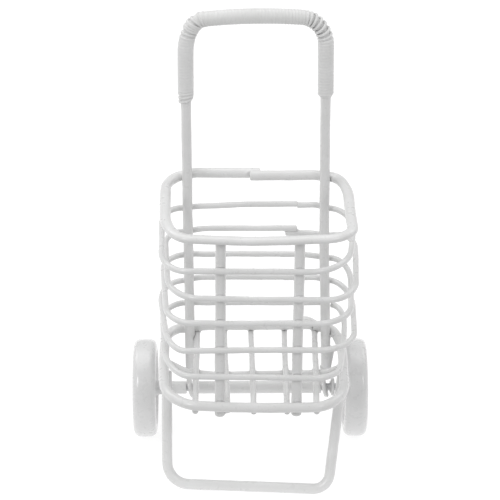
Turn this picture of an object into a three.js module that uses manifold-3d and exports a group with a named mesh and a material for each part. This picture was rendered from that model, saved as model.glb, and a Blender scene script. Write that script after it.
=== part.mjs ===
// A miniature shopping trolley bent from white-coated wire: a handle frame, a wire basket of seven
// stacked loops, a stand at the front and two wheels on an axle at the back.
// Millimetres, +Z up, +Y towards the back, +X to the right seen from the front. The origin is on the
// ground at the middle of the trolley's outer box.
import * as THREE from "three";
import { mergeVertices } from "three/addons/utils/BufferGeometryUtils.js";
import Module from "manifold-3d";

// ---- Driving dimensions ----
const HEAVY_WIRE = 2.2; // diameter of the handle, rim, bottom loop, front bars and stand
const LIGHT_WIRE = 1.35; // diameter of the middle loops and the floor
const WELD_GAP = 0.02; // between two wires that touch at a weld

const WHEEL_RADIUS = 11.85;
const WHEEL_WIDTH = 5.5;
const WHEEL_X = 25.3; // middle of each wheel's tread, to each side

const LEG_Y = 11.45; // the plane of the handle's legs, over the axle
const LEG_LEFT_X = -14.35;
const LEG_RIGHT_TOP_X = 16.76; // the right leg splays out a little on its way down
const LEG_RIGHT_X = 18.3;
const HANDLE_TOP_Z = 108.26; // where the two slopes of the grip would meet over its soft middle
const HANDLE_MIDDLE_X = 0.5;
const ARCH_LEFT = 1.4; // fall of the grip from its middle to each corner
const ARCH_RIGHT = 0.95;
const ARCH_BEND = 7; // length of the soft bend to each side of that middle
const KNEE_Z = 83; // the right leg starts to splay here
const SHIN_Z = 55; // and splays more from here down
const KNEE_BEND = 6;

const WRAP_THICKNESS = 0.7; // the cord wound on the grip
const WRAP_LEFT_Z = 87.2; // where the winding stops on each leg
const WRAP_RIGHT_Z = 88.2;

const RIM_Z = 68.0;
const FLOOR_Z = 27.95; // the back of the bottom loop
const FLOOR_FRONT_Z = 27.3; // and its front
const FRONT_TOP_Y = -19.3; // centre line of the rim's front
const FRONT_BOTTOM_Y = -22.2; // centre line of the bottom loop's front

const STAND_BAR_Y = -15.25; // middle of the bar that stands on the ground
const STAND_BAR_SKEW = 2.7; // how much further forward its right end lies
const STAND_TOP_Y = -4.1; // where the stand meets the bottom loop's sides

// ---- Worked out from them ----
const HEAVY_R = HEAVY_WIRE / 2;
const LIGHT_R = LIGHT_WIRE / 2;
const AXLE_Z = WHEEL_RADIUS;
const TURN = Math.PI / 2;

const wasm = await Module();
wasm.setup();

const trolley = new THREE.Group();

// ---- Finishes ----
const coatedWire = () => new THREE.MeshStandardMaterial({ color: 0xf2f2f2, roughness: 0.38, metalness: 0 });
const wheelPlastic = () => new THREE.MeshStandardMaterial({ color: 0xf0f0f1, roughness: 0.42, metalness: 0 });
const woundCord = () => new THREE.MeshStandardMaterial({ color: 0xf1f1f1, roughness: 0.5, metalness: 0 });
const bareSteel = () => new THREE.MeshStandardMaterial({ color: 0xc4c6c8, roughness: 0.3, metalness: 1 });

function addPiece(name, geometry, material) {
  const mesh = new THREE.Mesh(geometry, material);
  mesh.name = name;
  trolley.add(mesh);
  return mesh;
}

// ---- Wires ----
const STEP_ANGLE = THREE.MathUtils.degToRad(16); // most that one short stretch of a bend turns

// A wire's centre line, swept exactly through its own points, with its section held against one fixed
// direction so that a flat side keeps facing the same way.
class WirePath extends THREE.Curve {
  constructor(points, reference) {
    super();
    this.points = points;
    this.reference = new THREE.Vector3(...reference);
  }

  getPoint(t) {
    const place = t * (this.points.length - 1);
    const i = Math.min(Math.floor(place), this.points.length - 2);
    return this.points[i].clone().lerp(this.points[i + 1], place - i);
  }

  getPointAt(u) {
    return this.getPoint(u);
  }

  computeFrenetFrames(segments) {
    const last = this.points.length - 1;
    const tangents = [];
    const normals = [];
    const binormals = [];
    for (let i = 0; i <= segments; i++) {
      const before = this.points[Math.max(i - 1, 0)];
      const here = this.points[i];
      const after = this.points[Math.min(i + 1, last)];
      const arriving = here.clone().sub(before).normalize();
      const leaving = after.clone().sub(here).normalize();
      const tangent = arriving.add(leaving).normalize();
      const slant = this.reference.dot(tangent);
      const normal = this.reference.clone().addScaledVector(tangent, -slant).normalize();
      tangents.push(tangent);
      normals.push(normal);
      binormals.push(new THREE.Vector3().crossVectors(tangent, normal));
    }
    return { tangents, normals, binormals };
  }
}

// A regular section with a flat side towards the reference direction.
function roundSection(radius, sides) {
  const section = new THREE.Shape();
  for (let i = 0; i < sides; i++) {
    const angle = ((i + 0.5) / sides) * 2 * Math.PI;
    if (i === 0) section.moveTo(radius * Math.cos(angle), radius * Math.sin(angle));
    else section.lineTo(radius * Math.cos(angle), radius * Math.sin(angle));
  }
  section.closePath();
  return section;
}

// Corners are {at: [x, y, z], bend: [before, after]}: the bend is a quarter of an ellipse that starts
// and ends at those distances from the corner. A corner without a bend is a plain end or joint.
function bentPoints(corners) {
  const places = corners.map((corner) => new THREE.Vector3(...corner.at));
  const points = [];
  corners.forEach((corner, i) => {
    const here = places[i];
    if (!corner.bend) {
      points.push(here);
      return;
    }
    const backwards = places[i - 1].clone().sub(here).normalize();
    const forwards = places[i + 1].clone().sub(here).normalize();
    const start = here.clone().addScaledVector(backwards, corner.bend[0]);
    const end = here.clone().addScaledVector(forwards, corner.bend[1]);
    const centre = start.clone().add(end).sub(here);
    const turned = Math.PI - backwards.angleTo(forwards);
    const steps = Math.max(2, Math.ceil(turned / STEP_ANGLE));
    for (let k = 0; k <= steps; k++) {
      const angle = (k / steps) * TURN;
      const point = centre.clone();
      point.addScaledVector(start.clone().sub(centre), Math.cos(angle));
      point.addScaledVector(end.clone().sub(centre), Math.sin(angle));
      points.push(point);
    }
  });
  return points;
}

function sweep(points, section, reference) {
  const path = new WirePath(points, reference);
  return new THREE.ExtrudeGeometry(section, { steps: points.length - 1, extrudePath: path });
}

const UP = [0, 0, 1];
const BACK = [0, 1, 0];

function wire(corners, radius, reference) {
  const sides = radius > 1 ? 12 : 10;
  return sweep(bentPoints(corners), roundSection(radius, sides), reference);
}

// ---- Joining and cutting ----
function solid(geometry) {
  const bare = geometry.clone();
  bare.deleteAttribute("normal");
  bare.deleteAttribute("uv");
  const merged = mergeVertices(bare, 1e-4);
  return new wasm.Manifold(
    new wasm.Mesh({
      numProp: 3,
      vertProperties: new Float32Array(merged.attributes.position.array),
      triVerts: new Uint32Array(merged.index.array),
    }),
  );
}

function geometryOf(manifold) {
  const made = manifold.getMesh();
  const geometry = new THREE.BufferGeometry();
  geometry.setAttribute("position", new THREE.BufferAttribute(new Float32Array(made.vertProperties), 3));
  geometry.setIndex(new THREE.BufferAttribute(new Uint32Array(made.triVerts), 1));
  geometry.computeVertexNormals();
  return geometry;
}

// ---- Handle frame: one heavy wire, its two ends flattened into eyes for the axle ----
const EYE_RADIUS = 2.5;
const EYE_THICKNESS = 1.1;
const EYE_LEAN = THREE.MathUtils.degToRad(11);
const EYE_HOLE = 1.05;
const EYE_MOUTH = THREE.MathUtils.degToRad(30); // how far above its middle the eye narrows to its neck
const EYE_NECK_HALF = 1.05; // half the neck's width
const EYE_PIVOT_Z = 0.6; // the eye leans about a point this far above its middle
const EYE_NECK_Z = AXLE_Z + 3.6; // the flat eye runs up to here
const WIRE_END_Z = AXLE_Z + 5.8; // and the round wire starts here
const TAIL_RADIUS = 1;

const handleCorners = [
  { at: [LEG_LEFT_X, LEG_Y, WIRE_END_Z] },
  { at: [LEG_LEFT_X + 0.08, LEG_Y, HANDLE_TOP_Z - ARCH_LEFT], bend: [7.2, 3.8] },
  { at: [HANDLE_MIDDLE_X, LEG_Y, HANDLE_TOP_Z], bend: [ARCH_BEND, ARCH_BEND] },
  { at: [LEG_RIGHT_TOP_X, LEG_Y, HANDLE_TOP_Z - ARCH_RIGHT], bend: [5.1, 6] },
  { at: [LEG_RIGHT_TOP_X + 0.32, LEG_Y, KNEE_Z], bend: [KNEE_BEND, KNEE_BEND] },
  { at: [LEG_RIGHT_TOP_X + 0.48, LEG_Y, SHIN_Z], bend: [KNEE_BEND, KNEE_BEND] },
  { at: [LEG_RIGHT_X, LEG_Y, WIRE_END_Z] },
];

// The flat eye, standing across X, with its neck drawn in to the wire's width.
function eyePlate(x, lean) {
  const outline = new THREE.Shape();
  outline.absarc(0, 0, EYE_RADIUS, 2 * TURN - EYE_MOUTH, 4 * TURN + EYE_MOUTH, false);
  outline.lineTo(EYE_NECK_HALF, EYE_NECK_Z - AXLE_Z);
  outline.lineTo(-EYE_NECK_HALF, EYE_NECK_Z - AXLE_Z);
  outline.closePath();
  const options = { depth: EYE_THICKNESS, bevelEnabled: false, curveSegments: 16 };
  const plate = new THREE.ExtrudeGeometry(outline, options);
  plate.translate(0, 0, -EYE_THICKNESS / 2);
  plate.rotateX(TURN);
  plate.rotateZ(TURN);
  plate.rotateY(lean);
  plate.translate(x - Math.sin(lean) * EYE_PIVOT_Z, LEG_Y, AXLE_Z);
  return plate;
}

// The forged-down stretch between the round wire and the flat eye.
function eyeTaper(x) {
  const topZ = WIRE_END_Z + 0.3;
  const length = topZ - EYE_NECK_Z + 1.2;
  const taper = new THREE.CylinderGeometry(HEAVY_R, EYE_THICKNESS * 0.52, length, 12);
  taper.rotateX(TURN);
  taper.translate(x, LEG_Y, topZ - length / 2);
  return taper;
}

// The wire's cut-off end, bent back up behind the leg above its eye.
function eyeTail(x) {
  const corners = [
    { at: [x - 0.1, LEG_Y + 0.7, AXLE_Z + 2.6] },
    { at: [x + 0.3, LEG_Y + 2, AXLE_Z + 4.4], bend: [1, 1] },
    { at: [x + 1.15, LEG_Y + 2.2, AXLE_Z + 9.6] },
  ];
  return wire(corners, TAIL_RADIUS, BACK);
}

function axleHole(radius) {
  const hole = new THREE.CylinderGeometry(radius, radius, 8, 16);
  hole.rotateZ(TURN);
  return hole;
}

function handleFrame() {
  let frame = solid(wire(handleCorners, HEAVY_R, BACK));
  for (const x of [LEG_LEFT_X, LEG_RIGHT_X]) {
    const hole = axleHole(EYE_HOLE);
    hole.translate(x, LEG_Y, AXLE_Z);
    const eye = solid(eyePlate(x, -EYE_LEAN)).add(solid(eyeTaper(x))).add(solid(eyeTail(x)));
    frame = frame.add(eye.subtract(solid(hole)));
  }
  return geometryOf(frame);
}
addPiece("handle_frame", handleFrame(), coatedWire());

// ---- Handle wrap: the outer shape of the cord wound round the grip ----
function handleWrap() {
  const gap = 0.04;
  const onLeg = (lower, upper, z) => {
    const x = THREE.MathUtils.mapLinear(z, lower.at[2], upper.at[2], lower.at[0], upper.at[0]);
    return { at: [x, LEG_Y, z] };
  };
  const [foot, leftCorner, middle, rightCorner, knee] = handleCorners;
  const leftStop = onLeg(foot, leftCorner, WRAP_LEFT_Z);
  const rightStop = onLeg(knee, rightCorner, WRAP_RIGHT_Z);
  const grip = [leftStop, leftCorner, middle, rightCorner, rightStop];
  const sleeve = roundSection(HEAVY_R + WRAP_THICKNESS, 14);
  const bore = new THREE.Path(roundSection(HEAVY_R + gap, 14).getPoints().reverse());
  sleeve.holes.push(bore);
  return sweep(bentPoints(grip), sleeve, BACK);
}
addPiece("handle_wrap", handleWrap(), woundCord());

// ---- Basket loops: each one wire, its two ends lapped and welded at the back ----
// left and right: X of each side's corners at the back and at the front. heights: at the back, then at the
// corners back left, front left, middle of the front, front right and back right. lap: where its ends meet;
// over: how far they run past each other. leftEnd and rightEnd: how the left and the right stretch are set
// off there, back and up; besideLegs: how far up each lies at its leg; legInside: how far inside the right
// leg's middle it stays level. Bends are [across, in depth].
const LOOPS = [
  {
    name: "top_rim", heavy: true, left: [-19.45, -18.65], right: [22.25, 22.1],
    heights: [68.5, 67.4, 68.8, RIM_Z, 68.7, 67.8], besideLegs: [0.2, -0.6],
    backLeft: [4, 5], frontLeft: [5.3, 11.8], frontRight: [6, 4.8], backRight: [4.9, 10.4],
    lap: 1.3, over: 1.1, leftEnd: [1.65, -0.7], rightEnd: [-0.6, -0.3],
  },
  {
    name: "basket_ring_1", left: [-20.55, -19.5], right: [24.55, 21.25],
    heights: [60.6, 59.9, 60.8, 60.7, 60.5, 59.15], besideLegs: [-0.3, -0.15],
    backLeft: [4.9, 9], frontLeft: [5.5, 9.3], frontRight: [8.1, 10.3], backRight: [6, 12.3],
    lap: 11, over: -0.06, leftEnd: [0, 0.03], rightEnd: [0.1, -0.1],
  },
  {
    name: "basket_ring_2", left: [-19.95, -18.05], right: [24.65, 23.05],
    heights: [54.35, 53.5, 54.45, 53.85, 53.75, 53.35], besideLegs: [-0.2, -1.38],
    backLeft: [4, 6.7], frontLeft: [6.5, 9.3], frontRight: [6.1, 8.7], backRight: [4.8, 9.1],
    lap: 9.6, over: 1.3, leftEnd: [0, 0.05], rightEnd: [0.15, -1.35],
  },
  {
    name: "basket_ring_3", left: [-20.6, -18.55], right: [23.75, 22.1],
    heights: [47.55, 47.25, 48.4, 48, 48.05, 46.55], besideLegs: [0.2, -0.5],
    backLeft: [5.8, 7.3], frontLeft: [5.1, 7.2], frontRight: [7.4, 8.9], backRight: [5.2, 13.3],
    lap: 7.4, over: -0.06, leftEnd: [0.05, 0], rightEnd: [0, -0.05],
  },
  {
    name: "basket_ring_4", left: [-21.75, -18.4], right: [24.05, 23.05],
    heights: [41.3, 40.2, 41.5, 41.55, 41.45, 40.2], besideLegs: [0, 0],
    backLeft: [5.9, 10.8], frontLeft: [3.7, 10.2], frontRight: [8, 8.8], backRight: [6, 13.3],
    lap: 9.6, over: 1.5, leftEnd: [0, 0.1], rightEnd: [1.15, -0.7],
  },
  {
    name: "basket_ring_5", left: [-20.9, -19.35], right: [23.3, 19.5],
    heights: [34.45, 34.4, 35.35, 34.75, 34.35, 32.65], besideLegs: [0.1, 0],
    backLeft: [5.9, 8], frontLeft: [5.7, 14.2], frontRight: [5.8, 5.5], backRight: [3.4, 12.9],
    lap: 19.1, over: -0.5, leftEnd: [0, 0], rightEnd: [0, 0],
  },
  {
    name: "bottom_ring", heavy: true, left: [-19.4, -19.4], right: [21.75, 21.35],
    heights: [FLOOR_Z, FLOOR_Z, FLOOR_FRONT_Z, FLOOR_FRONT_Z, FLOOR_FRONT_Z, FLOOR_Z], besideLegs: [0, 0],
    backLeft: [4.3, 8.1], frontLeft: [7.4, 8.9], frontRight: [7.2, 11.1], backRight: [5.5, 14],
    lap: 13.2, over: 1.2, leftEnd: [0, 0], rightEnd: [2.24, -0.1], legInside: 1,
  },
];

// The front of every loop touches the same two straight front bars.
const frontFaceY = (z) => THREE.MathUtils.mapLinear(z, FLOOR_Z, RIM_Z, FRONT_BOTTOM_Y, FRONT_TOP_Y) + HEAVY_R;
const loopRadius = (loop) => (loop.heavy ? HEAVY_R : LIGHT_R);

const FRONT_MIDDLE_X = 1.5;
const LEG_INSIDE = 1.8; // a loop is level with its leg from this far inside the leg's middle
const LEG_OUTSIDE = 0.7; // to this far outside it, where its corner may start
const LEG_SHARE = 0.6; // by then it has this share of the corner's height
const STEP_LENGTH = 2.4; // and then steps this far along to where its end lies
const LAP_REACH = 6; // a right end that stops short of its leg starts its step this far before the lap
const SMALL_BEND = [0.8, 0.8];
const WIDE_BEND = [8, 8];

// The middle of the handle's right leg at a height.
function rightLegX(z) {
  const [, , , , , shin, foot] = handleCorners;
  if (z > SHIN_Z) return shin.at[0];
  return THREE.MathUtils.mapLinear(z, foot.at[2], shin.at[2], foot.at[0], shin.at[0]);
}

function loopCorners(loop) {
  const [backZ, backLeftZ, frontLeftZ, frontZ, frontRightZ, backRightZ] = loop.heights;
  const radius = loopRadius(loop);
  const back = LEG_Y + HEAVY_R + radius + WELD_GAP;
  const front = frontFaceY(frontZ) - radius;
  const rightLeg = rightLegX(backZ);
  const leftRun = loop.lap + loop.over;
  const rightRun = loop.lap - loop.over;
  const { legInside = LEG_INSIDE } = loop;
  const end = (x, [dy, dz]) => [x, back + dy, backZ + dz];
  const atLeg = (x, rise, cornerZ, share) => [x, back, backZ + rise + share * (cornerZ - backZ)];
  const [leftRise, rightRise] = loop.besideLegs;
  const leftOfLeg = LEG_LEFT_X - LEG_OUTSIDE;
  const rightOfLeg = rightLeg + LEG_OUTSIDE;
  const corner = (x, cornerZ, start, [across, deep]) => {
    return { at: [x, back, cornerZ], bend: [Math.min(across, Math.abs(x - start) - 0.05), deep] };
  };
  const backLeft = corner(loop.left[0], backLeftZ, leftOfLeg, loop.backLeft);
  const backRight = corner(loop.right[0], backRightZ, Math.max(rightOfLeg, rightRun), loop.backRight);
  backRight.bend.reverse();
  const corners = [
    { at: end(leftRun, loop.leftEnd) },
    { at: end(LEG_LEFT_X + LEG_INSIDE + STEP_LENGTH, loop.leftEnd), bend: SMALL_BEND },
    { at: atLeg(LEG_LEFT_X + LEG_INSIDE, leftRise, backLeftZ, 0), bend: SMALL_BEND },
    { at: atLeg(leftOfLeg, leftRise, backLeftZ, LEG_SHARE) },
    backLeft,
    { at: [loop.left[1], front, frontLeftZ], bend: [...loop.frontLeft].reverse() },
    { at: [FRONT_MIDDLE_X, front, frontZ], bend: WIDE_BEND },
    { at: [loop.right[1], front, frontRightZ], bend: loop.frontRight },
    backRight,
  ];
  if (rightRun > rightLeg) {
    const z = THREE.MathUtils.mapLinear(rightRun, rightLeg, loop.right[0], backZ, backRightZ);
    corners.push({ at: [rightRun, back, z] });
    return corners;
  }
  const stepX = Math.min(rightLeg - legInside - STEP_LENGTH, rightRun + LAP_REACH);
  corners.push(
    { at: atLeg(rightOfLeg, rightRise, backRightZ, LEG_SHARE) },
    { at: atLeg(rightLeg - legInside, rightRise, backRightZ, 0), bend: SMALL_BEND },
    { at: end(stepX, loop.rightEnd), bend: SMALL_BEND },
    { at: end(rightRun, loop.rightEnd) },
  );
  return corners;
}
for (const loop of LOOPS) {
  addPiece(loop.name, wire(loopCorners(loop), loopRadius(loop), UP), coatedWire());
}

// ---- Front bars: two heavy uprights inside the loops' fronts, from under the rim to below the floor ----
const BAR_INSET = 0.06; // between the bars and the loops' fronts, which they only just touch
const BAR_TOP_Z = RIM_Z - HEAVY_R - 0.1;
const BAR_BOTTOM_Z = 24.2;
const FRONT_BARS = { front_bar_left: [-6.62, -7.1], front_bar_right: [10.63, 10.15] };
for (const [name, [topX, bottomX]] of Object.entries(FRONT_BARS)) {
  const inside = HEAVY_R + BAR_INSET;
  const corners = [
    { at: [topX, frontFaceY(BAR_TOP_Z) + inside, BAR_TOP_Z] },
    { at: [bottomX, frontFaceY(BAR_BOTTOM_Z) + inside, BAR_BOTTOM_Z] },
  ];
  addPiece(name, wire(corners, HEAVY_R, BACK), coatedWire());
}

// ---- Floor: five light wires from front to back under the bottom loop ----
// Each wire's X at its front end and at its back end.
const FLOOR_WIRES = [
  [-12.65, -12.65],
  [-5.3, -6.2],
  [0.6, 0.25],
  [8.05, 8.25],
  [14.75, 15.55],
];
const bottomLoop = LOOPS[LOOPS.length - 1];
const sideX = ([backX, frontX], y) => THREE.MathUtils.mapLinear(y, loopBackY, FRONT_BOTTOM_Y, backX, frontX);
const loopBackY = LEG_Y + 2 * HEAVY_R + WELD_GAP;
const underLoop = HEAVY_R + LIGHT_R + WELD_GAP;
function floorZ(y) {
  const loopZ = THREE.MathUtils.mapLinear(y, loopBackY, FRONT_BOTTOM_Y, FLOOR_Z, FLOOR_FRONT_Z);
  return loopZ - underLoop;
}
const FLOOR_FRONT_OVER = -0.75; // how far the floor wires run past the bottom loop's centre line
const FLOOR_BACK_OVER = 0.5;
FLOOR_WIRES.forEach(([frontX, backX], i) => {
  const frontEnd = FRONT_BOTTOM_Y - FLOOR_FRONT_OVER;
  const backEnd = loopBackY + FLOOR_BACK_OVER;
  const corners = [
    { at: [frontX, frontEnd, floorZ(frontEnd)] },
    { at: [backX, backEnd, floorZ(backEnd)] },
  ];
  addPiece(`floor_wire_${i + 1}`, wire(corners, LIGHT_R, UP), coatedWire());
});

// ---- Floor cross wire: side to side under the floor wires, its ends turned up under the loop's sides ----
const CROSS_Y = -3.25; // its straight middle, bowed forwards
const CROSS_LEFT_X = -9; // where that middle starts on the left
const CROSS_LEFT_BOW = 1.6; // how far back from it the wire lies where each end turns up
const CROSS_RIGHT_BOW = 0.5;
const CROSS_TURN_UP = 4.2; // length of each turned-up end, across the trolley
const CROSS_BEND = [1.5, 1.5];
function floorCrossWire() {
  const z = floorZ(CROSS_Y) - LIGHT_WIRE - WELD_GAP;
  const leftY = CROSS_Y + 2 * CROSS_LEFT_BOW;
  const rightY = CROSS_Y + 2 * CROSS_RIGHT_BOW;
  const leftX = sideX(bottomLoop.left, leftY);
  const rightX = sideX(bottomLoop.right, rightY);
  return wire(
    [
      { at: [leftX, leftY, floorZ(leftY) + 0.1] },
      { at: [leftX + CROSS_TURN_UP, CROSS_Y + CROSS_LEFT_BOW, z], bend: CROSS_BEND },
      { at: [CROSS_LEFT_X, CROSS_Y, z], bend: CROSS_BEND },
      { at: [rightX - CROSS_TURN_UP, CROSS_Y + CROSS_RIGHT_BOW, z], bend: CROSS_BEND },
      { at: [rightX, rightY, floorZ(rightY) + 0.15] },
    ],
    LIGHT_R,
    UP,
  );
}
addPiece("floor_cross_wire", floorCrossWire(), coatedWire());

// ---- Stand: a heavy wire in a U, welded under the bottom loop's sides and leaning forwards ----
const STAND_SIDES = 12;
const STAND_Z = HEAVY_R * Math.cos(Math.PI / STAND_SIDES); // the bar's underside is a flat on the ground
const STAND_LEFT_X = -19.6; // its lower corners
const STAND_RIGHT_X = 17.9;
const STAND_BEND_LEFT = 5;
const STAND_BEND_RIGHT = 3.4;
function stand() {
  const topZ = floorZ(STAND_TOP_Y) + LIGHT_R - HEAVY_R - 0.05;
  const halfSkew = STAND_BAR_SKEW / 2;
  return wire(
    [
      { at: [sideX(bottomLoop.left, STAND_TOP_Y) + 0.1, STAND_TOP_Y, topZ] },
      { at: [STAND_LEFT_X, STAND_BAR_Y + halfSkew, STAND_Z], bend: [STAND_BEND_LEFT, STAND_BEND_LEFT] },
      { at: [STAND_RIGHT_X, STAND_BAR_Y - halfSkew, STAND_Z], bend: [STAND_BEND_RIGHT, STAND_BEND_RIGHT] },
      { at: [sideX(bottomLoop.right, STAND_TOP_Y) - 0.1, STAND_TOP_Y, topZ] },
    ],
    HEAVY_R,
    BACK,
  );
}
addPiece("stand", stand(), coatedWire());

// ---- Axle: a steel rod through the eyes, with coated sleeves and washers on it ----
const ROD_RADIUS = 0.9;
const ROD_END_X = WHEEL_X + 2.1;
const SLEEVE_RADIUS = 1.52;
const SLEEVE_HOLE = 1.05;
const WASHER_RADIUS = 2.1;
const WASHER_THICKNESS = 0.8;
const WASHER_OUT_X = 20.45; // outer face of each washer
const HUB_END_X = 20.95; // inner end of each wheel's hub
const EYE_CLEARANCE = 1.05; // from an eye's middle to the sleeve beside it
const SLIP_GAP = 0.12; // between pieces that sit side by side on the rod
const ROUND_SIDES = 24;

// Turns a profile of [distance along the axle, radius] pairs about the axle.
function turned(profile, sides) {
  const points = profile.map(([along, radius]) => new THREE.Vector2(radius, along));
  const lathe = new THREE.LatheGeometry(points, sides);
  lathe.rotateZ(-TURN);
  return lathe;
}

function onAxle(geometry, x) {
  return geometry.translate(x, LEG_Y, AXLE_Z);
}

function ringOnAxle(fromX, toX, outer, hole, sides) {
  const profile = [[fromX, hole], [fromX, outer], [toX, outer], [toX, hole], [fromX, hole]];
  return onAxle(turned(profile, sides), 0);
}

function rod() {
  const profile = [[-ROD_END_X, 0], [-ROD_END_X, ROD_RADIUS], [ROD_END_X, ROD_RADIUS], [ROD_END_X, 0]];
  return onAxle(turned(profile, 16), 0);
}
addPiece("axle_rod", rod(), bareSteel());

const washerInnerX = WASHER_OUT_X - WASHER_THICKNESS;
const sleeves = {
  axle_sleeve_centre: [LEG_LEFT_X + EYE_CLEARANCE, LEG_RIGHT_X - EYE_CLEARANCE],
  axle_sleeve_left: [-washerInnerX + SLIP_GAP, LEG_LEFT_X - EYE_CLEARANCE],
  axle_sleeve_right: [LEG_RIGHT_X + EYE_CLEARANCE, washerInnerX - SLIP_GAP],
};
for (const [name, [fromX, toX]] of Object.entries(sleeves)) {
  addPiece(name, ringOnAxle(fromX, toX, SLEEVE_RADIUS, SLEEVE_HOLE, ROUND_SIDES), coatedWire());
}
const washers = {
  washer_left: [-WASHER_OUT_X, -washerInnerX],
  washer_right: [washerInnerX, WASHER_OUT_X],
};
for (const [name, [fromX, toX]] of Object.entries(washers)) {
  addPiece(name, ringOnAxle(fromX, toX, WASHER_RADIUS, SLEEVE_HOLE, ROUND_SIDES), coatedWire());
}

// ---- Wheels: one-piece plastic discs with a rounded tread, a dished face and a long inner hub ----
const WHEEL_HOLE = 0.97;
const HUB_END_RADIUS = 1.55;
const HUB_ROOT_RADIUS = 2.2;
const BOSS_RADIUS = 3.25; // the raised middle of the outer face, which the cap sits in
const BOSS_ROOT_RADIUS = 3.6;
const RIM_INNER_RADIUS = 9.3;
const DISH_RADIUS = 8.9;
const FACE_DISH = 0.75; // how deep each face is sunk inside its rim
const TREAD_ROUND = 1.55;
const WHEEL_SIDES = 40;
const CAP_SEAT = 1.35; // the hub's outer face, from the wheel's middle
const CAP_RADIUS = 2.2;

// Profile of the wheel with +along pointing outwards from the trolley.
function wheelProfile() {
  const half = WHEEL_WIDTH / 2;
  const innerEnd = HUB_END_X - WHEEL_X;
  const round = (sign) =>
    [0, 1, 2, 3].map((k) => {
      const angle = (k / 3) * TURN;
      const along = sign * (half - TREAD_ROUND + TREAD_ROUND * Math.cos(angle));
      return [along, WHEEL_RADIUS - TREAD_ROUND + TREAD_ROUND * Math.sin(angle)];
    });
  return [
    [innerEnd, WHEEL_HOLE],
    [innerEnd, HUB_END_RADIUS],
    [-half + FACE_DISH, HUB_ROOT_RADIUS],
    [-half + FACE_DISH, DISH_RADIUS],
    [-half, RIM_INNER_RADIUS],
    ...round(-1),
    ...round(1).reverse(),
    [half, RIM_INNER_RADIUS],
    [half - FACE_DISH, DISH_RADIUS],
    [half - FACE_DISH, BOSS_ROOT_RADIUS],
    [CAP_SEAT, BOSS_RADIUS],
    [CAP_SEAT, WHEEL_HOLE],
    [innerEnd, WHEEL_HOLE],
  ];
}

// A push-on cap that closes the rod's end and keeps the wheel on.
function capProfile() {
  const seat = CAP_SEAT + SLIP_GAP;
  const top = WHEEL_WIDTH / 2 - 0.1;
  const gap = 0.06;
  const blind = ROD_END_X - WHEEL_X + gap;
  return [
    [blind, 0],
    [blind, ROD_RADIUS + gap],
    [seat, ROD_RADIUS + gap],
    [seat, CAP_RADIUS],
    [top - 0.45, CAP_RADIUS],
    [top - 0.12, CAP_RADIUS - 0.5],
    [top, CAP_RADIUS - 1.3],
    [top, 0],
  ];
}

for (const [side, sign] of [["left", -1], ["right", 1]]) {
  const wheel = turned(wheelProfile(), WHEEL_SIDES);
  const cap = turned(capProfile(), ROUND_SIDES);
  if (sign < 0) {
    wheel.rotateZ(Math.PI);
    cap.rotateZ(Math.PI);
  }
  addPiece(`wheel_${side}`, onAxle(wheel, sign * WHEEL_X), wheelPlastic());
  addPiece(`axle_cap_${side}`, onAxle(cap, sign * WHEEL_X), bareSteel());
}

export default trolley;
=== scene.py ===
"""A miniature shopping trolley of white-coated wire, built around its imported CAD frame.

Lengths are millimetres until a mesh is made. +Z is up and +Y is towards the back. Every wire is swept
along its centre line, which takes its place from the CAD's bounds where it can, and otherwise repeats
or refines the CAD's corners. The coating fills the corners wherever two wires are welded.
"""

import math

import bpy
import numpy as np
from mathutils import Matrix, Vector


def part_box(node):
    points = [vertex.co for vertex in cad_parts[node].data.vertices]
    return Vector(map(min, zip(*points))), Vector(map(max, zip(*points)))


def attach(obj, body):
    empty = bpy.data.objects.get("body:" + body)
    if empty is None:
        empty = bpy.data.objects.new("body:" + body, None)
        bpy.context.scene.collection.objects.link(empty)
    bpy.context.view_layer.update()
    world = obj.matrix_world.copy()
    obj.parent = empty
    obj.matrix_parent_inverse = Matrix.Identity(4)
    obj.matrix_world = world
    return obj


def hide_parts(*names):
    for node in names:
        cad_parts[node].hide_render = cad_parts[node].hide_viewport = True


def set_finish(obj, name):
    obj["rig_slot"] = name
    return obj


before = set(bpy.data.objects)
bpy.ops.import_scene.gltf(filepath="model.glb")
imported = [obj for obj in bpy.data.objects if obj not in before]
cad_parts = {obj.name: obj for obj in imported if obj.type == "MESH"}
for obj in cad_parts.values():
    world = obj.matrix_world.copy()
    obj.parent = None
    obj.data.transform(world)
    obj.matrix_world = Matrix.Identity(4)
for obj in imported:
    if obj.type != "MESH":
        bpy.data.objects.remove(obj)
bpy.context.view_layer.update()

MM = 0.001
HEAVY = 1.1  # radius of the heavy wire
LIGHT = 0.675  # radius of the light wire
COAT = 0.06  # the coating lies this much thicker on the heavy wires than on the light ones


# ---- Reading the CAD frame ----
def corners_of(node):
    """Lowest and highest corner of a CAD node, in millimetres."""
    low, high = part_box(node)
    return np.array(low) / MM, np.array(high) / MM


def points_of(node):
    """A CAD node's vertices, in millimetres."""
    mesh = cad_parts[node].data
    found = np.empty(len(mesh.vertices) * 3)
    mesh.vertices.foreach_get("co", found)
    return found.reshape(-1, 3) / MM


def straight_ends(node):
    """The two ends of a straight wire's centre line."""
    found = points_of(node)
    middle = (found.min(0) + found.max(0)) / 2
    along = np.linalg.svd(found - found.mean(0), full_matrices=False)[2][0]
    if along[np.argmax(np.abs(along))] < 0:
        along = -along
    reach = (found - middle) @ along
    return middle + along * reach.min(), middle + along * reach.max()


# ---- Centre lines ----
def unit(v):
    return v / np.linalg.norm(v, axis=-1, keepdims=True)


STEP = 0.22  # between the stations of a centre line


def is_bend(corner):
    return np.ndim(corner[0]) > 0


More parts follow.
